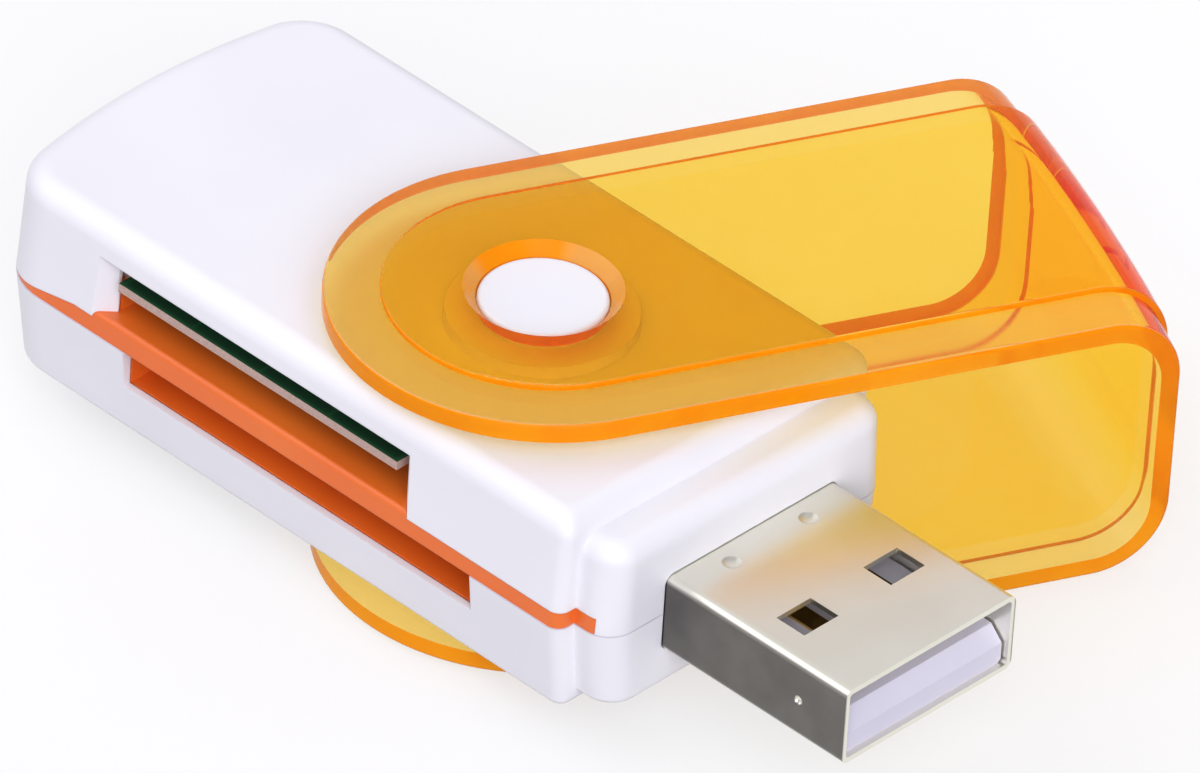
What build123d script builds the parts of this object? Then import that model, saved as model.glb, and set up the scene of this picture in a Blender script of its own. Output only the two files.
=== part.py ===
from build123d import *

import math
import os

# USB memory card reader with a swivel cap, in millimetres.
# Everything is drawn about the cap's swivel axis as Z, with +Z up and z = 0 at the
# outer face of the cap's lower arm, on which the reader rests. +X points along
# the USB plug, and the two large card slots open towards -Y. At the end it is all
# moved so that the origin is the middle of the plug at the face of the nose.

# Body: two shells that meet at the parting height
BODY_HALF_WIDTH = 11.05
BODY_REAR = 28.5
BODY_FRONT = 12.5
UPPER_HEIGHT = 6.45
LOWER_HEIGHT = 5.05
REAR_BOW = 1.45
REAR_CORNER = 3.7
FRONT_CORNER = 0.7
UPPER_DRAFT = 3.5
LOWER_DRAFT = 6.5
TOP_ROUND = 1.2
BOTTOM_ROUND = 0.4
WALL = 1.0
ROOF = 0.9

# Nose: the narrower block that grips the plug
NOSE_HALF_WIDTH = 9.9
NOSE_LENGTH = 2.35
NOSE_DROP = 1.3
NOSE_RISE = 0.6
NOSE_CORNER = 1.6
NOSE_TOP_ROUND = 1.1
NOSE_BOTTOM_ROUND = 0.35
NOSE_WALL = 1.1

# Orange card frame: stripe, divider and lower card tray
STRIPE = 0.95
STRIPE_TAPER = 5.5
STRIPE_REAR_INSET = 1.4
STRIPE_FRONT_INSET = 1.05
STRIPE_SINK = 0.05
DIVIDER = 1.25
SILL_ROUND = 0.3
TRAY_FLOOR = 0.7
TRAY_WALL = 1.0
TRAY_GAP = 0.12
RAIL = 1.1
FRAME_FIT = 0.1
SILL_SKIN = 0.4

# Cards: width and thickness of each kind, and the room that a slot adds
SD_WIDTH = 24.0
SD_THICK = 2.1
MS_WIDTH = 20.0
MS_THICK = 1.6
MICROSD_WIDTH = 11.0
MICROSD_THICK = 1.0
M2_WIDTH = 12.5
M2_THICK = 1.2
SLOT_SIDE_ROOM = 0.2
SLOT_ROOM = 0.1
SD_X = -5.8
MS_X = -9.2
MICROSD_X = -13.0
M2_X = 3.6
MS_LEAD_IN = 1.0
MS_LIP = 1.85
STOP_RIB = 0.5

# Circuit board and what is soldered to it
BOARD = 0.5
BOARD_EDGE_GAP = 0.4
BOARD_TAB_GAP = 0.35
BOARD_FRONT = 10.7
CHIP_SIZE = 5.0
CHIP_HEIGHT = 0.85
CHIP_MARK = 0.4
CRYSTAL_SIZE = (3.2, 2.5, 0.8)
CAPACITOR_SIZE = (1.6, 0.8, 0.7)
RESISTOR_SIZE = (1.0, 0.5, 0.35)
CHIP_X = -22.2
PART_GAP = 0.7
POST_RADIUS = 0.9

# Contact springs
SPRING = 0.15
SPRING_WIDTH = 0.7
SMALL_SPRING_WIDTH = 0.5
SPRING_FOOT = 1.0
SPRING_REACH = 4.0
SPRING_DIP = 0.9
SMALL_DIP = 0.6
SMALL_FOOT_Y = -4.5
SD_PITCH = 2.5
MS_PITCH = 1.95
MICROSD_PITCH = 1.1
M2_PITCH = 0.95

# USB plug, the standard A size
PLUG_WIDTH = 12.0
PLUG_HEIGHT = 4.5
PLUG_SHEET = 0.3
PLUG_BEND = 0.5
PLUG_REACH = 12.25
PLUG_TAIL = 6.0
PLUG_DROP = 0.05
PLUG_FIT = 0.05
WINDOW_LENGTH = 1.9
WINDOW_WIDTH = 2.4
WINDOW_FROM_TIP = 5.5
WINDOW_OFFSET = 3.05
DIMPLE_RADIUS = 0.75
DIMPLE_FROM_TIP = 11.0
DIMPLE_OFFSET = 2.7
SIDE_DIMPLE_RADIUS = 0.3
SIDE_DIMPLE_FROM_TIP = 3.1
DIMPLE_DEPTH = 0.2
TONGUE_HEIGHT = 1.95
TONGUE_SETBACK = 0.35
TONGUE_LEAD_IN = 0.8
TONGUE_FIT = 0.1
TONGUE_BASE = 2.6
CONTACT_WIDTH = 1.1
CONTACT_FROM_TIP = 2.0
CONTACT_OFFSETS = (-3.5, -1.0, 1.0, 3.5)
TAB_LENGTH = 1.4

# Swivel cap: one clear U with a raised panel that runs round its closed end
CAP_ANGLE = 65.7
CAP_HALF_WIDTH = 10.93
CAP_REACH = 30.3
CAP_END_RADIUS = 132.0
CAP_BEND = 3.95
CAP_WALL = 1.05
CAP_LOW_GAP = 1.0
CAP_HIGH_GAP = 0.85
CAP_EDGE = 0.25
PANEL_RAISE = 0.3
PANEL_BORDER = 2.85
PANEL_EDGE = 0.15

# Pivot: a boss on each cover in a hole of each arm
BOSS_RADIUS = 3.3
BOSS_SINK = 0.5
BOSS_ROUND = 0.25
PIVOT_FIT = 0.08
HOLE_FLARE = 0.65
SHOULDER_RADIUS = 4.9
SHOULDER_FIT = 0.15

# How close a point must lie to a place to be counted as on it
NEAR = 0.001

# Heights worked out from the sizes above
ARM_OUT_LOW = PANEL_RAISE
ARM_IN_LOW = ARM_OUT_LOW + CAP_WALL
BODY_BOTTOM = ARM_IN_LOW + CAP_LOW_GAP
PARTING = BODY_BOTTOM + LOWER_HEIGHT
BODY_TOP = PARTING + UPPER_HEIGHT
ARM_IN_HIGH = BODY_TOP + CAP_HIGH_GAP
ARM_OUT_HIGH = ARM_IN_HIGH + CAP_WALL
CAP_TOP = ARM_OUT_HIGH + PANEL_RAISE
DIVIDER_TOP = PARTING + DIVIDER
BOARD_BOTTOM = DIVIDER_TOP + MS_THICK + SLOT_ROOM
BOARD_TOP = BOARD_BOTTOM + BOARD
CEILING = BODY_TOP - ROOF
FLOOR = BODY_BOTTOM + ROOF
TRAY_TOP = PARTING - SD_THICK - SLOT_ROOM
TRAY_BOTTOM = TRAY_TOP - TRAY_FLOOR
NOSE_FRONT = BODY_FRONT + NOSE_LENGTH
NOSE_TOP = BODY_TOP - NOSE_DROP
NOSE_BOTTOM = BODY_BOTTOM + NOSE_RISE
PLUG_Z = PARTING - PLUG_DROP
PLUG_TIP = NOSE_FRONT + PLUG_REACH
PLUG_REAR = NOSE_FRONT - PLUG_TAIL
FRAME_FRONT = PLUG_REAR - 2 * SPRING - SPRING_FOOT


def draft_inset(height, draft):
    """How far a drafted wall has moved in at this height from the parting."""
    return height * math.tan(math.radians(draft))


# Where a card in the lower slot stops: the tray's back wall clears the shell
TRAY_BACK = BODY_HALF_WIDTH - draft_inset(PARTING - TRAY_BOTTOM, LOWER_DRAFT) - WALL - TRAY_GAP
CARD_STOP = TRAY_BACK - TRAY_WALL


def block(x, y, z):
    """Box between two bounds along each axis."""
    centre = ((x[0] + x[1]) / 2, (y[0] + y[1]) / 2, (z[0] + z[1]) / 2)
    return Pos(*centre) * Box(x[1] - x[0], y[1] - y[0], z[1] - z[0])


def at(shapes, axis, value):
    """Those of the shapes whose centre lies at this place along the axis."""
    return shapes.filter_by_position(axis, value - NEAR, value + NEAR)


def disc(radius, low, high):
    """Cylinder on the swivel axis between two heights."""
    return Pos(0, 0, (low + high) / 2) * Cylinder(radius, high - low)


def side_prism(points, half_width):
    """Prism with the given outline in the XZ plane, through both sides."""
    outline = Plane.XZ * make_face(Polyline(*points, close=True))
    return extrude(outline, amount=half_width, both=True)


def body_outline(half, rear, front, corner):
    """Main plan outline, bowed at the rear between its rounded corners."""
    shoulder = rear + REAR_BOW
    edges = Polyline((shoulder, -half), (front, -half), (front, half), (shoulder, half))
    edges += ThreePointArc((shoulder, half), (rear, 0), (shoulder, -half))
    outline = make_face(edges)
    return fillet(at(outline.vertices(), Axis.X, shoulder), corner)


def upright_front(solid, front, corner):
    """The drafted solid cut upright at its front, with the corners there rounded."""
    far = front + 2 * BODY_HALF_WIDTH
    width = (-far, far)
    solid -= block((front, far), width, (-far, far))
    uprights = at(solid.faces(), Axis.X, front)[0].edges().sort_by(Axis.Y)
    return fillet([uprights[0], uprights[-1]], corner)


def body_block(height, draft, inset=0.0):
    """Main body drawn up from z = 0, with drafted sides and an upright front."""
    front = BODY_FRONT - inset
    outline = body_outline(BODY_HALF_WIDTH - inset, inset - BODY_REAR, front + height,
                           max(REAR_CORNER - inset, WALL / 2))
    return upright_front(extrude(outline, amount=height, taper=draft), front, FRONT_CORNER)


def nose_block(height, draft, inset=0.0):
    """Nose drawn up from z = 0, reaching back into the main body."""
    half = NOSE_HALF_WIDTH - inset
    front = NOSE_FRONT - inset
    rear = BODY_FRONT - WALL - NOSE_CORNER
    outline = make_face(Polyline((rear, -half), (front + height, -half),
                                 (front + height, half), (rear, half), close=True))
    solid = extrude(outline, amount=height, taper=draft)
    return upright_front(solid, front, max(NOSE_CORNER - inset, WALL / 2))


def rounded_top(solid, radius):
    """The solid with the edges of its highest face rounded."""
    top = solid.faces().sort_by(Axis.Z)[-1]
    return fillet(top.edges(), radius)


def half_shell(height, nose_height, draft, main_round, nose_round):
    """One half of the housing, hollow, standing on z = 0 at the parting."""
    main = rounded_top(body_block(height, draft), main_round)
    nose = nose_block(nose_height, draft)
    nose_top = nose.faces().sort_by(Axis.Z)[-1]
    free_edges = nose_top.edges().sort_by(Axis.X)[1:]
    nose = fillet(free_edges, nose_round)
    hollow = body_block(height - ROOF, draft, WALL)
    hollow += nose_block(nose_height - NOSE_WALL, draft, NOSE_WALL)
    return main + nose - hollow


def stripe_prism():
    """Side view of the stripe, tapering out towards the rear."""
    rear = STRIPE_REAR_INSET - BODY_REAR
    front = NOSE_FRONT - STRIPE_FRONT_INSET
    high = PARTING + STRIPE
    points = ((rear, PARTING), (front, PARTING), (front, high), (rear + STRIPE_TAPER, high))
    return side_prism(points, 2 * BODY_HALF_WIDTH)


def plug_opening():
    """Opening in the nose for the plug's shell."""
    opening = extrude(plug_section(-PLUG_FIT), amount=PLUG_TIP - PLUG_REAR)
    return Pos(PLUG_REAR, 0, PLUG_Z) * opening


def upper_slot():
    """Memory stick slot through the near wall, with lead-in at its sides."""
    half = MS_WIDTH / 2 + SLOT_SIDE_ROOM
    high = BODY_TOP - MS_LIP
    out = -BODY_HALF_WIDTH
    inside = WALL - BODY_HALF_WIDTH + MS_LEAD_IN
    mouth = half + MS_LEAD_IN
    throat = out + MS_LEAD_IN
    points = ((-mouth, out - WALL), (mouth, out - WALL), (mouth, out), (half, throat),
              (half, inside), (-half, inside), (-half, throat), (-mouth, out))
    outline = make_face(Polyline(*points, close=True))
    return Pos(MS_X, 0, PARTING) * extrude(outline, amount=high - PARTING)


def far_slot(x, width, thickness):
    """Slot for a small card through the far wall, just above the board."""
    half = width / 2 + SLOT_SIDE_ROOM
    low = BOARD_TOP + SLOT_ROOM / 2
    return block((x - half, x + half), (BODY_HALF_WIDTH - 2 * WALL, BODY_HALF_WIDTH + WALL),
                 (low, low + thickness + SLOT_ROOM))


def pivot_boss(face, arm_face, end):
    """Shoulder and boss between a cover's face and the boss's end."""
    down = -1 if end < face else 1
    seat = arm_face - down * SHOULDER_FIT
    shoulder = disc(SHOULDER_RADIUS, *sorted((face - down * ROOF / 2, seat)))
    boss = disc(BOSS_RADIUS, *sorted((face - down * ROOF / 2, end)))
    return shoulder + fillet(at(boss.edges(), Axis.Z, end), BOSS_ROUND)


def board_posts():
    """Places of the posts that hold the board down from the top cover."""
    side = BODY_HALF_WIDTH - 3 * WALL - POST_RADIUS
    return ((CHIP_X, -side), (CHIP_X, side), (BOARD_FRONT - 2 * POST_RADIUS, -side))


def top_cover():
    """White upper shell with slots, hold-down posts and the upper boss."""
    shell = Pos(0, 0, PARTING) * half_shell(
        UPPER_HEIGHT, NOSE_TOP - PARTING, UPPER_DRAFT, TOP_ROUND, NOSE_TOP_ROUND)
    shell -= stripe_prism()
    shell -= upper_slot()
    shell -= far_slot(MICROSD_X, MICROSD_WIDTH, MICROSD_THICK)
    shell -= far_slot(M2_X, M2_WIDTH, M2_THICK)
    for x, y in board_posts():
        shell += Pos(x, y, (BOARD_TOP + CEILING + ROOF / 2) / 2) * Cylinder(
            POST_RADIUS, CEILING + ROOF / 2 - BOARD_TOP)
    shell -= plug_opening()
    return shell + pivot_boss(BODY_TOP, ARM_IN_HIGH, CAP_TOP - BOSS_SINK)


def lower_slot():
    """Opening in the near wall of the bottom cover for the card tray."""
    half = SD_WIDTH / 2 + SLOT_SIDE_ROOM
    low = BODY_HALF_WIDTH - draft_inset(PARTING - TRAY_TOP, LOWER_DRAFT) - SILL_SKIN
    x = (SD_X - half, SD_X + half)
    mouth = block(x, (-BODY_HALF_WIDTH - WALL, WALL - BODY_HALF_WIDTH), (TRAY_TOP, PARTING))
    seat = block((x[0] - RAIL - FRAME_FIT, x[1] + RAIL + FRAME_FIT),
                 (-low, 2 * WALL - BODY_HALF_WIDTH), (TRAY_BOTTOM, PARTING))
    return mouth + seat


def bottom_cover():
    """White lower shell with the card opening, tray ribs and the lower boss."""
    shell = half_shell(LOWER_HEIGHT, PARTING - NOSE_BOTTOM, LOWER_DRAFT, BOTTOM_ROUND,
                       NOSE_BOTTOM_ROUND)
    shell = Pos(0, 0, PARTING) * mirror(shell, about=Plane.XY)
    shell -= lower_slot()
    shell -= plug_opening()
    side = BODY_HALF_WIDTH - 3 * WALL
    for x in (SD_X - SD_WIDTH / 2, SD_X, SD_X + SD_WIDTH / 2):
        shell += block((x - WALL / 2, x + WALL / 2), (-side, side),
                       (FLOOR - ROOF / 2, TRAY_BOTTOM))
    cradle = PLUG_WIDTH / 2
    shell += block((PLUG_REAR + WALL, PLUG_REAR + 2 * WALL), (-cradle, cradle),
                   (FLOOR - ROOF / 2, PLUG_Z - PLUG_HEIGHT / 2))
    return shell + pivot_boss(BODY_BOTTOM, ARM_IN_LOW, BOSS_SINK)


def frame_plate():
    """Orange plate between the shells: its edge is the stripe and the sill."""
    stripe = body_block(STRIPE, UPPER_DRAFT, STRIPE_SINK) + nose_block(STRIPE, UPPER_DRAFT, STRIPE_SINK)
    plate = (Pos(0, 0, PARTING) * stripe) & stripe_prism()
    plate += Pos(0, 0, PARTING) * body_block(DIVIDER, UPPER_DRAFT, WALL + FRAME_FIT)
    sill = Pos(0, 0, PARTING) * body_block(DIVIDER, UPPER_DRAFT, STRIPE_SINK)
    sill &= upper_slot()
    long_edges = at(sill.edges().filter_by(Axis.X), Axis.Z, DIVIDER_TOP)
    plate += fillet(long_edges.sort_by(Axis.Y)[0], SILL_ROUND)
    gap = PLUG_WIDTH / 2 + PLUG_FIT
    height = (PARTING, DIVIDER_TOP)
    plate -= block((FRAME_FRONT, NOSE_FRONT), (-gap, gap), height)
    throat = gap + WALL
    return plate - block((BODY_FRONT - WALL - FRAME_FIT, NOSE_FRONT), (-throat, throat), height)


def card_frame():
    """Orange moulding: plate, memory stick rails and stop, and the card tray."""
    frame = frame_plate()
    ms_half = MS_WIDTH / 2 + SLOT_SIDE_ROOM
    side = BODY_HALF_WIDTH - WALL - FRAME_FIT - draft_inset(BOARD_BOTTOM - PARTING, UPPER_DRAFT)
    over = (DIVIDER_TOP, BOARD_BOTTOM)
    for x in (MS_X - ms_half - RAIL, MS_X + ms_half):
        frame += block((x, x + RAIL), (-side, side), over)
    sd_half = SD_WIDTH / 2 + SLOT_SIDE_ROOM
    sill = BODY_HALF_WIDTH - draft_inset(PARTING - TRAY_TOP, LOWER_DRAFT) - SILL_SKIN - FRAME_FIT
    slot_x = (SD_X - sd_half, SD_X + sd_half)
    tray = block((slot_x[0] - RAIL, slot_x[1] + RAIL), (-sill, TRAY_BACK), (TRAY_BOTTOM, PARTING))
    frame += tray - block(slot_x, (-BODY_HALF_WIDTH, CARD_STOP), (TRAY_TOP, PARTING))
    window = CARD_STOP - SPRING_FOOT - 2 * SPRING
    frame -= block(slot_x, (window, CARD_STOP), (PARTING, BOARD_BOTTOM))
    return frame + block((MS_X - ms_half, MS_X + ms_half), (window - STOP_RIB, window), over)


def circuit_board():
    """Green board with a tab that reaches into the upper slot."""
    draft = draft_inset(BOARD_TOP - PARTING, UPPER_DRAFT)
    side = BODY_HALF_WIDTH - WALL - draft - BOARD_EDGE_GAP
    rear = REAR_BOW + WALL + BOARD_EDGE_GAP - BODY_REAR
    board = block((rear, BOARD_FRONT), (-side, side), (BOARD_BOTTOM, BOARD_TOP))
    corners = board.edges().filter_by(Axis.Z)
    board = fillet(corners, WALL)
    tab_half = MS_WIDTH / 2 - SLOT_SIDE_ROOM
    tab_out = BODY_HALF_WIDTH - draft - BOARD_TAB_GAP
    return board + block((MS_X - tab_half, MS_X + tab_half), (-tab_out, 0),
                         (BOARD_BOTTOM, BOARD_TOP))


def chip_parts():
    """Controller, crystal and small parts that stand on the board."""
    def on_board(x, y, size):
        return Pos(x, y, BOARD_TOP + size[2] / 2) * Box(*size)

    chip = on_board(CHIP_X, 0, (CHIP_SIZE, CHIP_SIZE, CHIP_HEIGHT))
    corner = CHIP_SIZE / 3
    chip -= Pos(CHIP_X - corner, -corner, BOARD_TOP + CHIP_HEIGHT) * Cylinder(CHIP_MARK, CHIP_MARK / 2)
    post = board_posts()[1][1] - POST_RADIUS
    parts = {"controller_chip": chip,
             "crystal": on_board(CHIP_X, (CHIP_SIZE / 2 + post) / 2, CRYSTAL_SIZE)}
    row = CHIP_SIZE / 2 + PART_GAP + CAPACITOR_SIZE[1] / 2
    for index in range(3):
        x = CHIP_X + (index - 1) * (CAPACITOR_SIZE[0] + PART_GAP / 2)
        parts[f"capacitor_{index + 1}"] = on_board(x, -row, CAPACITOR_SIZE)
    row += CAPACITOR_SIZE[1] / 2 + PART_GAP + RESISTOR_SIZE[1] / 2
    for index in range(2):
        x = CHIP_X + (2 * index - 1) * (POST_RADIUS + RESISTOR_SIZE[0])
        parts[f"resistor_{index + 1}"] = on_board(x, -row, RESISTOR_SIZE)
    return parts


def strip(points, width):
    """Bent strip of spring metal: a centre line in the YZ plane, thickened."""
    last = len(points) - 1
    left, right = [], []
    for index, (y, z) in enumerate(points):
        back = points[max(index - 1, 0)]
        ahead = points[min(index + 1, last)]
        start = math.atan2(z - back[1], y - back[0]) if index else None
        end = math.atan2(ahead[1] - z, ahead[0] - y) if index < last else start
        start = end if start is None else start
        turn = math.remainder(end - start, 2 * math.pi) / 2
        reach = SPRING / 2 / math.cos(turn)
        normal = start + turn + math.pi / 2
        left.append((y + reach * math.cos(normal), z + reach * math.sin(normal)))
        right.append((y - reach * math.cos(normal), z - reach * math.sin(normal)))
    outline = make_face(Polyline(*left, *reversed(right), close=True))
    return extrude(Plane.YZ * outline, amount=width / 2, both=True)


def board_springs():
    """Contact springs of the four card slots, each row named for its card."""
    under = BOARD_BOTTOM - SPRING / 2
    over = BOARD_TOP + SPRING / 2
    leg = CARD_STOP - SPRING_FOOT
    arm = PARTING - SPRING
    far, tip = leg - SPRING_REACH, leg - SPRING_REACH - SPRING_FOOT
    sd = ((CARD_STOP, under), (leg, under), (leg, arm), (far, arm - SPRING_DIP), (tip, arm - SPRING_DIP / 2))
    foot = leg - 2 * SPRING - STOP_RIB - 2 * SPRING
    bend = foot - SPRING_FOOT
    far, tip = bend - SPRING_REACH, bend - SPRING_REACH - SPRING_FOOT
    ms = ((foot, under), (bend, under), (far, under - SPRING_DIP), (tip, under - SPRING_DIP / 2))
    bend = SMALL_FOOT_Y + SPRING_FOOT
    far, tip = bend + SPRING_REACH, bend + SPRING_REACH + SPRING_FOOT
    small = ((SMALL_FOOT_Y, over), (bend, over), (far, over + SMALL_DIP), (tip, over + SMALL_DIP / 2))
    rows = (("sd", 9, SD_X, SD_PITCH, SPRING_WIDTH, sd),
            ("ms", 10, MS_X, MS_PITCH, SPRING_WIDTH, ms),
            ("microsd", 8, MICROSD_X, MICROSD_PITCH, SMALL_SPRING_WIDTH, small),
            ("m2", 11, M2_X, M2_PITCH, SMALL_SPRING_WIDTH, small))
    parts = {}
    for name, count, x, pitch, width, points in rows:
        spring = strip(points, width)
        for index in range(count):
            place = x + (index - (count - 1) / 2) * pitch
            parts[f"{name}_contact_{index + 1}"] = Pos(place, 0, 0) * spring
    return parts


def plug_section(inset):
    """Rounded cross-section of the plug's shell, in the YZ plane."""
    return Plane.YZ * RectangleRounded(PLUG_WIDTH - 2 * inset, PLUG_HEIGHT - 2 * inset,
                                       PLUG_BEND - inset)


def usb_shell():
    """Folded steel shell with windows, pressed dimples and two board tabs."""
    length = PLUG_TIP - PLUG_REAR
    shell = extrude(plug_section(0), amount=length) - extrude(plug_section(PLUG_SHEET), amount=length)
    shell = Pos(PLUG_REAR, 0, PLUG_Z) * shell
    for side in (-1, 1):
        y = side * WINDOW_OFFSET
        shell -= Pos(PLUG_TIP - WINDOW_FROM_TIP, y, PLUG_Z) * Box(
            WINDOW_LENGTH, WINDOW_WIDTH, 2 * PLUG_HEIGHT)
        dimple = Sphere(DIMPLE_RADIUS)
        top = PLUG_Z + PLUG_HEIGHT / 2 + DIMPLE_RADIUS - DIMPLE_DEPTH
        shell -= Pos(PLUG_TIP - DIMPLE_FROM_TIP, side * DIMPLE_OFFSET, top) * dimple
        wall = side * (PLUG_WIDTH / 2 + SIDE_DIMPLE_RADIUS - DIMPLE_DEPTH)
        shell -= Pos(PLUG_TIP - SIDE_DIMPLE_FROM_TIP, wall, PLUG_Z) * Sphere(SIDE_DIMPLE_RADIUS)
        edge = side * PLUG_WIDTH / 2
        shell += block((PLUG_REAR, PLUG_REAR + TAB_LENGTH), sorted((edge, edge - side * PLUG_SHEET)),
                       (PLUG_Z, BOARD_BOTTOM))
    return shell


def usb_tongue():
    """White insulator: a base that fills the shell and the tongue before it."""
    half = PLUG_WIDTH / 2 - PLUG_SHEET - TONGUE_FIT
    low = PLUG_Z - PLUG_HEIGHT / 2 + PLUG_SHEET
    high = PLUG_Z + PLUG_HEIGHT / 2 - PLUG_SHEET - TONGUE_FIT
    top = low + TONGUE_HEIGHT
    tip = PLUG_TIP - TONGUE_SETBACK
    corner = PLUG_BEND - PLUG_SHEET
    tongue = block((PLUG_REAR, tip), (-half, half), (low, top))
    long_edges = tongue.edges().filter_by(Axis.X).sort_by(Axis.Z)[:2]
    tongue = chamfer(long_edges, corner)
    lead = at(tongue.edges().filter_by(Axis.Y), Axis.X, tip)
    tongue = chamfer(lead.sort_by(Axis.Z)[-1], TONGUE_LEAD_IN)
    base = block((PLUG_REAR, PLUG_REAR + TONGUE_BASE), (-half, half), (top, high))
    for y in CONTACT_OFFSETS:
        slot = CONTACT_WIDTH / 2
        base -= block((PLUG_REAR, PLUG_REAR + TONGUE_BASE), (y - slot, y + slot), (top, top + SPRING))
    return tongue + base


def usb_contacts():
    """Four strips on the tongue whose tails turn up to the board."""
    top = PLUG_Z - PLUG_HEIGHT / 2 + PLUG_SHEET + TONGUE_HEIGHT
    tip = PLUG_TIP - TONGUE_SETBACK - CONTACT_FROM_TIP
    tail = PLUG_REAR - 2 * SPRING
    parts = {}
    for index, y in enumerate(CONTACT_OFFSETS):
        width = (y - CONTACT_WIDTH / 2, y + CONTACT_WIDTH / 2)
        flat = block((tail, tip), width, (top, top + SPRING))
        leg = block((tail, tail + SPRING), width, (top, BOARD_BOTTOM))
        parts[f"usb_contact_{index + 1}"] = flat + leg
    return parts


def cap_plan(half, reach):
    """Plan outline of the cap: round about the pivot, bowed at its end."""
    radius = CAP_END_RADIUS + reach - CAP_REACH
    shoulder = reach - radius + math.sqrt(radius ** 2 - half ** 2)
    edges = ThreePointArc((0, half), (-half, 0), (0, -half))
    edges += Line((0, -half), (shoulder, -half))
    edges += ThreePointArc((shoulder, -half), (reach, 0), (shoulder, half))
    edges += Line((shoulder, half), (0, half))
    return make_face(edges)


def cap_form(half, reach, low, high, bend):
    """Block with the cap's plan, rounded over at its bowed end."""
    form = Pos(0, 0, low) * extrude(cap_plan(half, reach), amount=high - low)
    ends = form.edges().filter_by(GeomType.CIRCLE).sort_by(Axis.X)[-2:]
    return fillet(ends, bend)


def soft_sides(form, half, radius):
    """The form with the edges along its sides and its round end softened."""
    sides = at(form.edges(), Axis.Y, half) + at(form.edges(), Axis.Y, -half)
    chain = sides.filter_by(lambda edge: edge.center().X > NEAR)
    chain += form.edges().filter_by(GeomType.CIRCLE).filter_by(lambda edge: edge.center().X < 0)
    return fillet(chain, radius)


def swivel_cap():
    """Clear orange cap, open along both long sides, turned to its rest angle."""
    panel_half = CAP_HALF_WIDTH - PANEL_BORDER
    outer = cap_form(CAP_HALF_WIDTH, CAP_REACH, ARM_OUT_LOW, ARM_OUT_HIGH, CAP_BEND)
    panel = cap_form(panel_half, CAP_REACH + PANEL_RAISE, 0, CAP_TOP, CAP_BEND + PANEL_RAISE)
    cap = soft_sides(outer, CAP_HALF_WIDTH, CAP_EDGE) + soft_sides(panel, panel_half, PANEL_EDGE)
    cap -= cap_form(2 * CAP_HALF_WIDTH, CAP_REACH - CAP_WALL, ARM_IN_LOW, ARM_IN_HIGH, CAP_BEND - CAP_WALL)
    bore = BOSS_RADIUS + PIVOT_FIT
    cap -= disc(bore, -CAP_WALL, CAP_TOP + CAP_WALL)
    flare = Pos(0, 0, CAP_TOP - HOLE_FLARE / 2) * Cone(bore, bore + HOLE_FLARE, HOLE_FLARE)
    cap -= flare
    cap -= mirror(flare, about=Plane.XY.offset(CAP_TOP / 2))
    return Rot(0, 0, CAP_ANGLE) * cap


def reader_parts():
    """Every piece of the reader by name."""
    parts = {"top_cover": top_cover(), "bottom_cover": bottom_cover(),
             "card_frame": card_frame(), "circuit_board": circuit_board(),
             "usb_shell": usb_shell(), "usb_tongue": usb_tongue(),
             "swivel_cap": swivel_cap()}
    parts.update(usb_contacts())
    parts.update(chip_parts())
    parts.update(board_springs())
    return parts


def main():
    os.makedirs("parts", exist_ok=True)
    place = Pos(-NOSE_FRONT, 0, -PLUG_Z)
    for name, part in reader_parts().items():
        export_step(place * part, f"parts/{name}.step")


if __name__ == "__main__":
    main()
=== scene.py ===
"""Looks of a USB memory card reader with a swivel cap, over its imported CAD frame.

Every length here is in millimetres unless its name says otherwise, and is turned
to metres where Blender takes it.
"""

import logging
import math
from dataclasses import dataclass, field
from enum import Enum
from typing import Any

import bmesh
import bpy
from mathutils import Matrix, Vector

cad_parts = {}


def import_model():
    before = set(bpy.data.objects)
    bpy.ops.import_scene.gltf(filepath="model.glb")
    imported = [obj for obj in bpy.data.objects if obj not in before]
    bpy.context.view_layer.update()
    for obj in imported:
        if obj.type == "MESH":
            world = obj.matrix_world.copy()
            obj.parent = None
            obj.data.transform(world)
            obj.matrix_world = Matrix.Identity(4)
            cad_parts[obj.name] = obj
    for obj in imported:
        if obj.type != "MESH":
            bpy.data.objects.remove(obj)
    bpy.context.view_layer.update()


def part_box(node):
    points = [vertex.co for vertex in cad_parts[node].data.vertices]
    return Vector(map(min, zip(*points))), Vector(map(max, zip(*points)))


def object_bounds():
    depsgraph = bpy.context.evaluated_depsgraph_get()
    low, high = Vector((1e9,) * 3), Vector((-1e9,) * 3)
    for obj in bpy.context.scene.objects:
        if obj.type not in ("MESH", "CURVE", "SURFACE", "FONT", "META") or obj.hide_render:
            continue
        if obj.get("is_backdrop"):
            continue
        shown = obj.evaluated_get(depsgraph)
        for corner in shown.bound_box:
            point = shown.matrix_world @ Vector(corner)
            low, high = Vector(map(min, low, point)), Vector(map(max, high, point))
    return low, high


LOG = logging.getLogger("card_reader")
MM = 0.001

# Sockets of the Mix node when it mixes colours
MIX_FACTOR, MIX_A, MIX_B, MIX_RESULT = 0, 6, 7, 2

# Noise lies mostly between these.
NOISE_LOW, NOISE_HIGH = 0.3, 0.7

Tree = bpy.types.NodeTree
Socket = bpy.types.NodeSocket


def linear(colour: str) -> tuple[float, float, float, float]:
    """Turn an sRGB hex colour to linear light.

    Args:
        colour: Six hex digits after a #.

    Returns:
        Red, green, blue and an alpha of 1.
    """
    parts = [int(colour[i:i + 2], 16) / 255 for i in (1, 3, 5)]
    light = [c / 12.92 if c <= 0.04045 else ((c + 0.055) / 1.055) ** 2.4 for c in parts]
    return (*light, 1.0)


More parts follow.
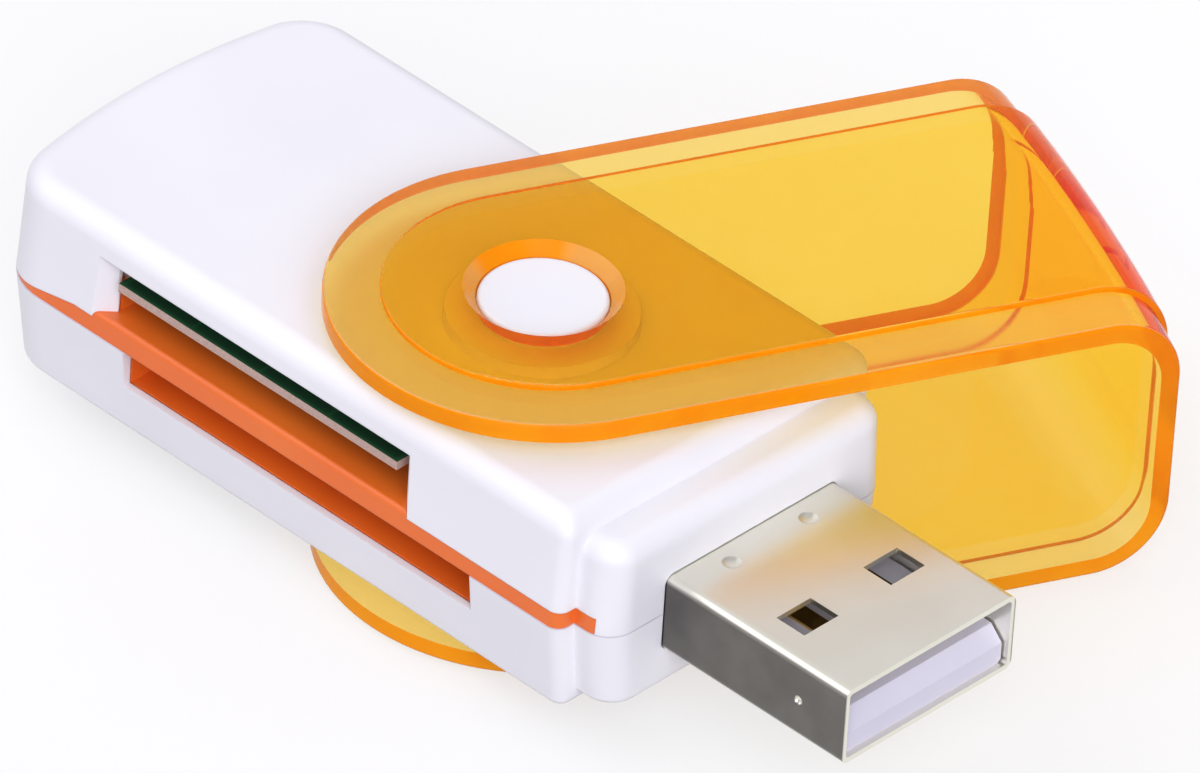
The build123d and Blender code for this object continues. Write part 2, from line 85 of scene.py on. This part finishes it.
def add_node(
    tree: Tree,
    kind: str,
    values: dict[Any, Any] | None = None,
    links: dict[Any, Socket] | None = None,
    **settings: Any,
) -> bpy.types.Node:
    """Add one node to a tree, with its settings, values and links.

    Args:
        tree: The node tree that takes it.
        kind: The node's type name.
        values: Constant values by input socket.
        links: Source sockets by input socket.
        **settings: The node's own properties.

    Returns:
        The new node.
    """
    node = tree.nodes.new(kind)
    for name, value in settings.items():
        setattr(node, name, value)
    for socket, value in (values or {}).items():
        node.inputs[socket].default_value = value
    for socket, source in (links or {}).items():
        tree.links.new(source, node.inputs[socket])
    return node


@dataclass(frozen=True)
class Finish:
    """A surface finish: what every material here is made from."""

    name: str

    def start(self) -> tuple[bpy.types.Material, Tree, Socket]:
        """Make an empty material.

        Returns:
            The material, its node tree and its Object coordinates.
        """
        material = bpy.data.materials.new(self.name)
        material.use_nodes = True
        tree = material.node_tree
        tree.nodes.clear()
        coords = add_node(tree, "ShaderNodeTexCoord")
        return material, tree, coords.outputs["Object"]

    def end(self, tree: Tree, shader: bpy.types.Node) -> bpy.types.Node:
        """Join the shader to the material's output.

        Args:
            tree: The material's node tree.
            shader: The surface shader.

        Returns:
            The output node.
        """
        return add_node(tree, "ShaderNodeOutputMaterial", links={"Surface": shader.outputs[0]})


def patches(
    tree: Tree,
    coords: Socket,
    size: float,
    low: float = 0.0,
    high: float = 1.0,
    detail: float = 2.0,
) -> Socket:
    """Make a pattern of soft patches of a real size.

    Args:
        tree: The material's node tree.
        coords: Coordinates in metres.
        size: Width of a patch in millimetres.
        low: Value in the darkest patches.
        high: Value in the lightest patches.
        detail: How many finer layers it has.

    Returns:
        The pattern's value.
    """
    cloud = add_node(tree, "ShaderNodeTexNoise", {"Scale": 1 / (size * MM), "Detail": detail},
                     {"Vector": coords})
    values = {"From Min": NOISE_LOW, "From Max": NOISE_HIGH, "To Min": low, "To Max": high}
    return add_node(tree, "ShaderNodeMapRange", values, {"Value": cloud.outputs[0]}).outputs[0]


def drifting(tree: Tree, coords: Socket, size: float, first: str, second: str) -> Socket:
    """Make a colour that drifts between two in soft patches.

    Args:
        tree: The material's node tree.
        coords: Coordinates in metres.
        size: Width of a patch in millimetres.
        first: Hex colour.
        second: Hex colour.

    Returns:
        The colour.
    """
    colour = add_node(tree, "ShaderNodeMix", {MIX_A: linear(first), MIX_B: linear(second)},
                      {MIX_FACTOR: patches(tree, coords, size)}, data_type="RGBA")
    return colour.outputs[MIX_RESULT]


@dataclass(frozen=True)
class MouldedPlastic(Finish):
    """Injection-moulded ABS or PBT: satin, with a fine spark-eroded grain.

    The grain breaks up the gloss, and the colour drifts a little where the melt
    flowed, so that large faces aren't one even tone.
    """

    colour: str
    drift: str
    roughness: float
    grain: float = 0.16
    grain_depth: float = 0.0006
    drift_size: float = 9.0
    edge: float = 0.10
    edge_samples: int = 4
    grains_per_gloss_patch: int = 4
    roughness_spread: float = 0.04
    ior: float = 1.54

    def material(self) -> bpy.types.Material:
        """Return the finished material."""
        material, tree, coords = self.start()
        colour = self.tone(tree, coords)
        grain = patches(tree, coords, self.grain)
        rough = patches(tree, coords, self.grains_per_gloss_patch * self.grain,
                        self.roughness - self.roughness_spread,
                        self.roughness + self.roughness_spread)
        # Moulded edges are never sharp: this rounds how they catch the light.
        rounded = add_node(tree, "ShaderNodeBevel", {"Radius": self.edge * MM},
                           samples=self.edge_samples)
        bump = add_node(tree, "ShaderNodeBump", {"Distance": self.grain_depth * MM},
                        {"Height": grain, "Normal": rounded.outputs[0]})
        shader = add_node(tree, "ShaderNodeBsdfPrincipled", {"IOR": self.ior},
                          {"Base Color": colour, "Roughness": rough, "Normal": bump.outputs[0]})
        self.end(tree, shader)
        return material

    def tone(self, tree: Tree, coords: Socket) -> Socket:
        """Give the colour with its slow drift.

        Args:
            tree: The material's node tree.
            coords: Object coordinates.

        Returns:
            The colour.
        """
        return drifting(tree, coords, self.drift_size, self.colour, self.drift)


@dataclass(frozen=True)
class HousingPlastic(MouldedPlastic):
    """White ABS with the fine dark line where the two shells meet."""

    seam_z: float = 0.0
    seam: float = 0.06
    seam_core: float = 0.4
    seam_colour: str = "#DAD7E2"

    def tone(self, tree: Tree, coords: Socket) -> Socket:
        """Give the drifting white, darker along the seam.

        Args:
            tree: The material's node tree.
            coords: Object coordinates.

        Returns:
            The colour.
        """
        white = super().tone(tree, coords)
        height = add_node(tree, "ShaderNodeSeparateXYZ", links={0: coords}).outputs["Z"]
        away = add_node(tree, "ShaderNodeMath", {1: self.seam_z * MM}, {0: height},
                        operation="SUBTRACT")
        away = add_node(tree, "ShaderNodeMath", links={0: away.outputs[0]}, operation="ABSOLUTE")
        values = {"From Min": self.seam_core * self.seam * MM, "From Max": self.seam * MM,
                  "To Min": 1.0, "To Max": 0.0}
        line = add_node(tree, "ShaderNodeMapRange", values, {"Value": away.outputs[0]})
        colour = add_node(tree, "ShaderNodeMix", {MIX_B: linear(self.seam_colour)},
                          {MIX_FACTOR: line.outputs[0], MIX_A: white}, data_type="RGBA")
        return colour.outputs[MIX_RESULT]


@dataclass(frozen=True)
class ClearPolycarbonate(Finish):
    """Polished, clear orange polycarbonate.

    Half of its colour is on its faces and half in its depth, so that one wall looks
    yellow and two look deep orange. Its cut edges are painted a deeper, less clear orange:
    a painted glow of the light the plastic carries to them. The border round the raised
    panel has a fine matt texture: it is milky.

    Its IOR is far below the 1.58 of the solid plastic, so that the white under the cap
    stays as bright as it is on the real one. A thin coat gives back the gloss.
    """

    pivot: tuple[float, float, float] = (0.0, 0.0, 0.0)
    angle: float = 0.0
    panel_half: float = 8.08
    closed_end: float = 25.0
    surface: str = "#FFECA6"
    surface_drift: str = "#FFE99C"
    frosted: str = "#FFF1CA"
    # Deep orange painted on the cut edges, less clear than the faces: a painted glow
    edge: str = "#FF9C0C"
    edge_drift: str = "#FD9006"
    through: str = "#FFF0A5"
    through_depth: float = 1.3
    scuff: float = 2.5
    scuff_detail: float = 4.0
    roughness: tuple[float, float] = (0.015, 0.045)
    clear: float = 0.99
    frosted_clear: float = 0.94
    frosting: float = 0.08
    painted_glow_clear: float = 0.25
    ior: float = 1.08
    coat: float = 0.12
    coat_roughness: float = 0.03
    sideways_from: float = 0.3
    sideways_full: float = 0.6
    level_from: float = 0.85
    level_full: float = 0.6

    def material(self) -> bpy.types.Material:
        """Return the finished material."""
        material, tree, coords = self.start()
        turn = math.radians(self.angle)
        # Coordinates and normals along, across and above the cap's own arms
        place = add_node(
            tree, "ShaderNodeMapping",
            {"Location": tuple(c * MM for c in self.pivot), "Rotation": (0, 0, turn)},
            {"Vector": coords}, vector_type="TEXTURE")
        normal = add_node(tree, "ShaderNodeTexCoord").outputs["Normal"]
        facing = add_node(tree, "ShaderNodeVectorRotate", {"Angle": -turn}, {"Vector": normal},
                          rotation_type="Z_AXIS")
        border = self.border(tree, place.outputs[0])
        rim = self.rim(tree, place.outputs[0], facing.outputs[0])
        polished = drifting(tree, coords, self.scuff, self.surface, self.surface_drift)
        # Painted glow for the cut edges
        painted_edge_glow = drifting(tree, coords, self.scuff, self.edge, self.edge_drift)
        flat = add_node(tree, "ShaderNodeMix", {MIX_B: linear(self.frosted)},
                        {MIX_FACTOR: border, MIX_A: polished}, data_type="RGBA")
        colour = add_node(
            tree, "ShaderNodeMix",
            links={MIX_FACTOR: rim, MIX_A: flat.outputs[MIX_RESULT], MIX_B: painted_edge_glow},
            data_type="RGBA")
        face = add_node(tree, "ShaderNodeMapRange",
                        {"To Min": self.clear, "To Max": self.frosted_clear}, {"Value": border})
        # The cut edges are made less clear, so that their painted glow shows
        clear = add_node(tree, "ShaderNodeMapRange", {"To Max": self.painted_glow_clear},
                         {"Value": rim, "To Min": face.outputs[0]})
        scuffs = patches(tree, coords, self.scuff, *self.roughness, self.scuff_detail)
        rough = add_node(tree, "ShaderNodeMath", {1: self.frosting}, {0: border, 2: scuffs},
                         operation="MULTIPLY_ADD")
        shader = add_node(
            tree, "ShaderNodeBsdfPrincipled",
            {"IOR": self.ior, "Coat Weight": self.coat, "Coat Roughness": self.coat_roughness},
            {"Base Color": colour.outputs[MIX_RESULT], "Roughness": rough.outputs[0],
             "Transmission Weight": clear.outputs[0]})
        output = self.end(tree, shader)
        loss = [-math.log(c) / (self.through_depth * MM) for c in linear(self.through)[:3]]
        density = max(loss)
        tint = (*(1 - one / density for one in loss), 1.0)
        volume = add_node(tree, "ShaderNodeVolumeAbsorption", {"Color": tint, "Density": density})
        tree.links.new(volume.outputs[0], output.inputs["Volume"])
        return material

    def border(self, tree: Tree, place: Socket) -> Socket:
        """Find the matt border round the raised panel.

        Args:
            tree: The material's node tree.
            place: Coordinates along, across and above the cap.

        Returns:
            1 on the border and 0 on the panel.
        """
        parts = add_node(tree, "ShaderNodeSeparateXYZ", links={0: place})
        behind = add_node(tree, "ShaderNodeMath", {1: 0.0}, {0: parts.outputs["X"]},
                          operation="MINIMUM")
        out = add_node(tree, "ShaderNodeCombineXYZ",
                       links={"X": behind.outputs[0], "Y": parts.outputs["Y"]})
        reach = add_node(tree, "ShaderNodeVectorMath", links={0: out.outputs[0]},
                         operation="LENGTH")
        beyond = add_node(tree, "ShaderNodeMath", {1: self.panel_half * MM},
                          {0: reach.outputs["Value"]}, operation="GREATER_THAN")
        return beyond.outputs[0]

    def rim(self, tree: Tree, place: Socket, facing: Socket) -> Socket:
        """Find the cap's cut edges, which get the painted glow: what faces sideways, apart from its
        closed end.

        Args:
            tree: The material's node tree.
            place: Coordinates along, across and above the cap.
            facing: Normals along, across and above the cap.

        Returns:
            1 on an edge and 0 on a broad face.
        """
        along = add_node(tree, "ShaderNodeSeparateXYZ", links={0: place}).outputs["X"]
        parts = add_node(tree, "ShaderNodeSeparateXYZ", links={0: facing})
        across = add_node(tree, "ShaderNodeMath", links={0: parts.outputs["Y"]},
                          operation="ABSOLUTE")
        sideways = add_node(tree, "ShaderNodeMapRange",
                            {"From Min": self.sideways_from, "From Max": self.sideways_full},
                            {"Value": across.outputs[0]})
        level = add_node(tree, "ShaderNodeMath", links={0: parts.outputs["Z"]},
                         operation="ABSOLUTE")
        upright = add_node(tree, "ShaderNodeMapRange",
                           {"From Min": self.level_from, "From Max": self.level_full},
                           {"Value": level.outputs[0]})
        near = add_node(tree, "ShaderNodeMath", {1: self.closed_end * MM}, {0: along},
                        operation="LESS_THAN")
        open_part = add_node(tree, "ShaderNodeMath",
                             links={0: upright.outputs[0], 1: near.outputs[0]},
                             operation="MULTIPLY")
        edges = add_node(tree, "ShaderNodeMath",
                         links={0: sideways.outputs[0], 1: open_part.outputs[0]},
                         operation="MAXIMUM")
        return edges.outputs[0]


class Plating(Enum):
    """Bright colour, dull colour and roughness of what the metal pieces are plated with."""

    NICKEL = ("#F0EFE2", "#E8E6D7", 0.31)
    GOLD = ("#E8C170", "#D9AE58", 0.25)
    TIN = ("#CFCFD0", "#BDBEC0", 0.4)


@dataclass(frozen=True)
class PlatedSheet(Finish):
    """Rolled sheet with bright plating: faint streaks run along the rolling direction."""

    plating: Plating = Plating.NICKEL
    streak: float = 0.12
    streak_length: float = 6.0
    streak_depth: float = 0.00008
    streak_detail: float = 3.0
    roughness_spread: float = 0.02

    def material(self) -> bpy.types.Material:
        """Return the finished material."""
        material, tree, coords = self.start()
        roughness = self.plating.value[2]
        ratio = self.streak / self.streak_length
        stretched = add_node(tree, "ShaderNodeMapping", {"Scale": (ratio, 1.0, 1.0)},
                             {"Vector": coords}).outputs[0]
        streaks = patches(tree, stretched, self.streak, detail=self.streak_detail)
        rough = patches(tree, stretched, self.streak, roughness - self.roughness_spread,
                        roughness + self.roughness_spread, self.streak_detail)
        bump = add_node(tree, "ShaderNodeBump", {"Distance": self.streak_depth * MM},
                        {"Height": streaks})
        shader = add_node(tree, "ShaderNodeBsdfPrincipled", {"Metallic": 1.0},
                          {"Base Color": self.tone(tree, coords), "Roughness": rough,
                           "Normal": bump.outputs[0]})
        self.end(tree, shader)
        return material

    def tone(self, tree: Tree, coords: Socket) -> Socket:
        """Give the plating's colour, a little dull in patches.

        Args:
            tree: The material's node tree.
            coords: Object coordinates.

        Returns:
            The colour.
        """
        bright, dull, _ = self.plating.value
        return drifting(tree, coords, self.streak_length, bright, dull)


@dataclass(frozen=True)
class FoldedShell(PlatedSheet):
    """Plated shell with a painted dark reflection on its outer side walls, which are the same metal
    as its faces.
    """

    half_width: float = 6.0
    # Darker grey for the outer side walls: a painted dark reflection, not a different metal
    wall: str = "#75736E"
    wall_drift: str = "#65635F"
    wall_patch: float = 3.0
    wall_fade: float = 0.12
    wall_full: float = 0.01

    def tone(self, tree: Tree, coords: Socket) -> Socket:
        """Give the plating's colour, with a painted dark reflection on the outer side walls.

        Args:
            tree: The material's node tree.
            coords: Object coordinates.

        Returns:
            The colour.
        """
        face = super().tone(tree, coords)
        # Painted dark reflection, laid on the outer side walls by the mask below
        painted_dark_reflection = drifting(tree, coords, self.wall_patch, self.wall, self.wall_drift)
        across = add_node(tree, "ShaderNodeSeparateXYZ", links={0: coords}).outputs["Y"]
        away = add_node(tree, "ShaderNodeMath", links={0: across}, operation="ABSOLUTE")
        side = add_node(tree, "ShaderNodeMapRange",
                        {"From Min": (self.half_width - self.wall_fade) * MM,
                         "From Max": (self.half_width - self.wall_full) * MM},
                        {"Value": away.outputs[0]})
        colour = add_node(tree, "ShaderNodeMix",
                          links={MIX_FACTOR: side.outputs[0], MIX_A: face, MIX_B: painted_dark_reflection},
                          data_type="RGBA")
        return colour.outputs[MIX_RESULT]


@dataclass(frozen=True)
class GlassLaminate(Finish):
    """Glass-epoxy board: dark green solder mask on its faces, bare tan laminate at its edge.

    Fine copper tracks show through the mask as slightly paler lines.
    """

    mask: str = "#143A22"
    track: str = "#1E4D2D"
    edge: str = "#C3A79B"
    edge_drift: str = "#B29585"
    track_pitch: float = 0.8
    track_share: float = 0.12
    track_run: float = 6.0
    fibre: float = 0.12
    roughness: tuple[float, float] = (0.3, 0.42)
    ior: float = 1.55
    level_from: float = 0.5

    def material(self) -> bpy.types.Material:
        """Return the finished material."""
        material, tree, coords = self.start()
        tracks = add_node(tree, "ShaderNodeTexBrick",
                          {"Scale": 1 / (self.track_pitch * MM), "Color1": linear(self.mask),
                           "Color2": linear(self.mask), "Mortar": linear(self.track),
                           "Mortar Size": self.track_share, "Brick Width": self.track_run,
                           "Row Height": 1.0},
                          {"Vector": coords})
        cut = drifting(tree, coords, self.fibre, self.edge, self.edge_drift)
        normal = add_node(tree, "ShaderNodeTexCoord").outputs["Normal"]
        up = add_node(tree, "ShaderNodeSeparateXYZ", links={0: normal}).outputs["Z"]
        flat = add_node(tree, "ShaderNodeMath", links={0: up}, operation="ABSOLUTE")
        face = add_node(tree, "ShaderNodeMath", {1: self.level_from}, {0: flat.outputs[0]},
                        operation="GREATER_THAN")
        colour = add_node(
            tree, "ShaderNodeMix",
            links={MIX_FACTOR: face.outputs[0], MIX_A: cut, MIX_B: tracks.outputs["Color"]},
            data_type="RGBA")
        shader = add_node(tree, "ShaderNodeBsdfPrincipled", {"IOR": self.ior},
                          {"Base Color": colour.outputs[MIX_RESULT],
                           "Roughness": patches(tree, coords, self.fibre, *self.roughness)})
        self.end(tree, shader)
        return material


@dataclass(frozen=True)
class EndedChip(Finish):
    """Small ceramic part with a tinned cap at each end."""

    body: str = "#B08A5E"
    body_drift: str = "#9C774D"
    centre_m: tuple[float, float, float] = (0.0, 0.0, 0.0)
    half_length: float = 0.8
    tinned_length: float = 0.25
    grain: float = 0.15
    body_roughness: float = 0.55
    tinned_roughness: float = 0.35

    def material(self) -> bpy.types.Material:
        """Return the finished material."""
        material, tree, coords = self.start()
        ceramic = drifting(tree, coords, self.grain, self.body, self.body_drift)
        place = add_node(tree, "ShaderNodeMapping",
                         {"Location": tuple(-c for c in self.centre_m)}, {"Vector": coords})
        along = add_node(tree, "ShaderNodeSeparateXYZ", links={0: place.outputs[0]}).outputs["X"]
        away = add_node(tree, "ShaderNodeMath", links={0: along}, operation="ABSOLUTE")
        tinned = add_node(tree, "ShaderNodeMath",
                          {1: (self.half_length - self.tinned_length) * MM},
                          {0: away.outputs[0]}, operation="GREATER_THAN").outputs[0]
        colour = add_node(tree, "ShaderNodeMix", {MIX_B: linear(Plating.TIN.value[0])},
                          {MIX_FACTOR: tinned, MIX_A: ceramic}, data_type="RGBA")
        rough = add_node(tree, "ShaderNodeMapRange",
                         {"To Min": self.body_roughness, "To Max": self.tinned_roughness},
                         {"Value": tinned})
        shader = add_node(tree, "ShaderNodeBsdfPrincipled",
                          links={"Base Color": colour.outputs[MIX_RESULT], "Metallic": tinned,
                                 "Roughness": rough.outputs[0]})
        self.end(tree, shader)
        return material


def dress(node: str, material: bpy.types.Material) -> None:
    """Give a CAD node its material.

    Args:
        node: The node's name.
        material: The material for its whole surface.
    """
    piece = bpy.data.objects[node]
    if not piece.material_slots:
        piece.data.materials.append(None)
    for slot in piece.material_slots:
        slot.material = material
    LOG.info("%s: %s", node, material.name)


@dataclass
class Housing:
    """White shells and the orange card frame between them."""

    seam_z: float = 0.05
    white: str = "#F4F4F6"
    white_drift: str = "#F0F0F3"
    orange: str = "#F07426"
    orange_drift: str = "#EA6A20"
    white_roughness: float = 0.42
    orange_roughness: float = 0.34

    def dress(self) -> None:
        """Dress both covers and the frame."""
        white = HousingPlastic("white_abs", self.white, self.white_drift, self.white_roughness,
                               seam_z=self.seam_z).material()
        for node in ("top_cover", "bottom_cover"):
            dress(node, white)
        orange = MouldedPlastic("orange_abs", self.orange, self.orange_drift,
                                self.orange_roughness)
        dress("card_frame", orange.material())


@dataclass
class SwivelCap:
    """Clear orange cap that turns on the housing's bosses."""

    pivot: tuple[float, float, float] = (-14.85, 0.0, 0.0)
    angle: float = 65.7

    def dress(self) -> None:
        """Dress the cap."""
        finish = ClearPolycarbonate("clear_orange_polycarbonate", self.pivot, self.angle)
        dress("swivel_cap", finish.material())


@dataclass
class UsbPlug:
    """Folded steel shell, its white tongue and the gold contact strips."""

    contacts: int = 4
    insulator: str = "#E6E4F0"
    insulator_drift: str = "#DEDCEA"

    def dress(self) -> None:
        """Dress the plug's pieces."""
        dress("usb_shell", FoldedShell("nickel_plated_steel").material())
        tongue = MouldedPlastic("white_pbt", self.insulator, self.insulator_drift,
                                roughness=0.4, edge=0.05)
        dress("usb_tongue", tongue.material())
        gold = PlatedSheet("gold_plated_bronze", Plating.GOLD, streak=0.05, streak_length=1.5,
                           streak_depth=0.00004).material()
        for index in range(self.contacts):
            dress(f"usb_contact_{index + 1}", gold)


@dataclass
class Electronics:
    """Circuit board, what is soldered to it and the springs of the card slots."""

    springs: dict[str, int] = field(
        default_factory=lambda: {"sd": 9, "ms": 10, "microsd": 8, "m2": 11})
    capacitors: int = 3
    resistors: int = 2

    def dress(self) -> None:
        """Dress the board, its parts and its springs."""
        dress("circuit_board", GlassLaminate("green_glass_laminate").material())
        epoxy = MouldedPlastic("black_chip_epoxy", "#1B1B1D", "#242427", roughness=0.5, grain=0.05,
                               grain_depth=0.0008, drift_size=1.5, edge=0.05)
        dress("controller_chip", epoxy.material())
        can = PlatedSheet("crystal_can_nickel", Plating.TIN, streak=0.06, streak_length=2.0)
        dress("crystal", can.material())
        for index in range(self.capacitors):
            self.dress_ended(f"capacitor_{index + 1}", "ceramic_capacitor", "#B08A5E", "#9C774D")
        for index in range(self.resistors):
            self.dress_ended(f"resistor_{index + 1}", "thick_film_resistor", "#232326", "#2E2E33")
        gold = PlatedSheet("gold_plated_spring", Plating.GOLD, streak=0.05, streak_length=1.2,
                           streak_depth=0.00004).material()
        for row, count in self.springs.items():
            for index in range(count):
                dress(f"{row}_contact_{index + 1}", gold)

    def dress_ended(self, node: str, kind: str, body: str, drift: str) -> None:
        """Dress a small part that has tinned ends.

        Args:
            node: The part's node.
            kind: What it is, for the material's name.
            body: Colour of its body.
            drift: Second colour of its body.
        """
        low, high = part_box(node)
        half = (high.x - low.x) / 2 / MM
        # A third of each half is tinned.
        finish = EndedChip(f"{kind}_{node}", body, drift, tuple((low + high) / 2), half,
                           tinned_length=half / 3)
        dress(node, finish.material())


@dataclass(frozen=True)
class SoftBox:
    """A large, soft patch of light on the studio's dome."""

    direction: tuple[float, float, float]
    strength: float
    inner: float
    outer: float


@dataclass
class Studio:
    """Pale floor, soft light from all round and above, and the photographer's camera."""

    azimuth: float = 42.328
    elevation: float = 36.741
    roll: float = 3.798
    distance: float = 900.0
    view_width: float = 58.523
    aim: tuple[float, float, float] = (-5.604, -5.582, 10.577)
    clip_m: tuple[float, float] = (0.01, 20.0)
    floor_size: float = 6000.0
    floor_drop: float = 0.02
    floor_colour: str = "#A0A0A0"
    floor_drift: str = "#9D9D9D"
    floor_patch: float = 60.0
    floor_glow: float = 0.64
    horizon: float = 0.4
    zenith: float = 0.5
    horizon_colour: str = "#F3EFFF"
    zenith_colour: str = "#FCFCFF"
    boxes: tuple[SoftBox, ...] = (SoftBox((0.68, -0.56, 0.5), 3.9, 8.0, 36.0),
                                  SoftBox((-0.72, -0.42, 0.55), 1.7, 8.0, 34.0),
                                  SoftBox((-0.54, 0.59, 0.6), 0.4, 20.0, 55.0))

    def build(self) -> None:
        """Make the floor, the light and the camera."""
        self.make_floor()
        self.make_sky()
        self.make_camera()
        bpy.context.scene.view_settings.view_transform = "Standard"

    def make_floor(self) -> bpy.types.Object:
        """Lay the floor under the lowest point of the reader.

        Returns:
            The floor.
        """
        mesh = bpy.data.meshes.new("floor")
        shape = bmesh.new()
        bmesh.ops.create_grid(shape, x_segments=1, y_segments=1, size=self.floor_size * MM / 2)
        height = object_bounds()[0].z - self.floor_drop * MM
        bmesh.ops.translate(shape, verts=shape.verts, vec=(0, 0, height))
        shape.to_mesh(mesh)
        shape.free()
        floor = bpy.data.objects.new("floor", mesh)
        bpy.context.scene.collection.objects.link(floor)
        mesh.materials.append(self.floor_material())
        floor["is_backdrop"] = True
        LOG.info("floor laid")
        return floor

    def floor_material(self) -> bpy.types.Material:
        """Make matt white card that is pure white to the eye and still takes shadow.

        Returns:
            The floor's material.
        """
        finish = Finish("white_card")
        material, tree, coords = finish.start()
        tone = drifting(tree, coords, self.floor_patch, self.floor_colour, self.floor_drift)
        matt = add_node(tree, "ShaderNodeBsdfDiffuse", links={"Color": tone})
        path = add_node(tree, "ShaderNodeLightPath")
        seen = path.outputs["Is Camera Ray"]
        for ray in ("Is Glossy Ray", "Is Transmission Ray"):
            seen = add_node(tree, "ShaderNodeMath", links={0: seen, 1: path.outputs[ray]},
                            operation="MAXIMUM").outputs[0]
        level = add_node(tree, "ShaderNodeMath", {1: self.floor_glow}, {0: seen},
                         operation="MULTIPLY")
        glow = add_node(tree, "ShaderNodeEmission", links={"Strength": level.outputs[0]})
        both = add_node(tree, "ShaderNodeAddShader", links={0: matt.outputs[0], 1: glow.outputs[0]})
        finish.end(tree, both)
        return material

    def make_sky(self) -> None:
        """Light the scene: a dome that is brighter above, with large soft patches."""
        world = bpy.data.worlds.new("studio")
        world.use_nodes = True
        tree = world.node_tree
        tree.nodes.clear()
        coords = add_node(tree, "ShaderNodeTexCoord").outputs["Generated"]
        height = add_node(tree, "ShaderNodeSeparateXYZ", links={0: coords}).outputs["Z"]
        level = add_node(tree, "ShaderNodeMapRange",
                         {"To Min": self.horizon, "To Max": self.zenith},
                         {"Value": height}).outputs[0]
        for box in self.boxes:
            facing = add_node(tree, "ShaderNodeVectorMath", {1: Vector(box.direction).normalized()},
                              {0: coords}, operation="DOT_PRODUCT")
            edges = {"From Min": math.cos(math.radians(box.outer)),
                     "From Max": math.cos(math.radians(box.inner)), "To Max": box.strength}
            patch = add_node(tree, "ShaderNodeMapRange", edges, {"Value": facing.outputs["Value"]},
                             interpolation_type="SMOOTHSTEP")
            level = add_node(tree, "ShaderNodeMath", links={0: level, 1: patch.outputs[0]},
                             operation="ADD").outputs[0]
        colour = add_node(tree, "ShaderNodeMix",
                          {MIX_A: linear(self.horizon_colour), MIX_B: linear(self.zenith_colour)},
                          {MIX_FACTOR: height}, data_type="RGBA")
        light = add_node(tree, "ShaderNodeBackground",
                         links={"Color": colour.outputs[MIX_RESULT], "Strength": level})
        add_node(tree, "ShaderNodeOutputWorld", links={"Surface": light.outputs[0]})
        bpy.context.scene.world = world
        LOG.info("sky lit")

    def make_camera(self) -> bpy.types.Object:
        """Set the camera at the photograph's angle.

        Returns:
            The camera.
        """
        turn, rise = math.radians(self.azimuth), math.radians(self.elevation)
        back = Vector((math.sin(turn) * math.cos(rise), -math.cos(turn) * math.cos(rise),
                       math.sin(rise)))
        level = Vector((0, 0, 1)).cross(back).normalized()
        right = Matrix.Rotation(math.radians(self.roll), 3, back) @ level
        up = back.cross(right)
        lens = bpy.data.cameras.new("camera")
        lens.sensor_fit = "HORIZONTAL"
        lens.lens = lens.sensor_width * self.distance / self.view_width
        lens.clip_start, lens.clip_end = self.clip_m
        camera = bpy.data.objects.new("camera", lens)
        pose = Matrix((right, up, back)).transposed().to_4x4()
        pose.translation = (Vector(self.aim) + back * self.distance) * MM
        camera.matrix_world = pose
        bpy.context.scene.collection.objects.link(camera)
        bpy.context.scene.camera = camera
        LOG.info("camera set")
        return camera


def main() -> None:
    """Load the frame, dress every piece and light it."""
    logging.basicConfig(level=logging.INFO, format="%(name)s %(message)s")
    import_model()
    for assembly in (Housing(), SwivelCap(), UsbPlug(), Electronics()):
        assembly.dress()
    Studio().build()


if __name__ == "__main__":
    main()
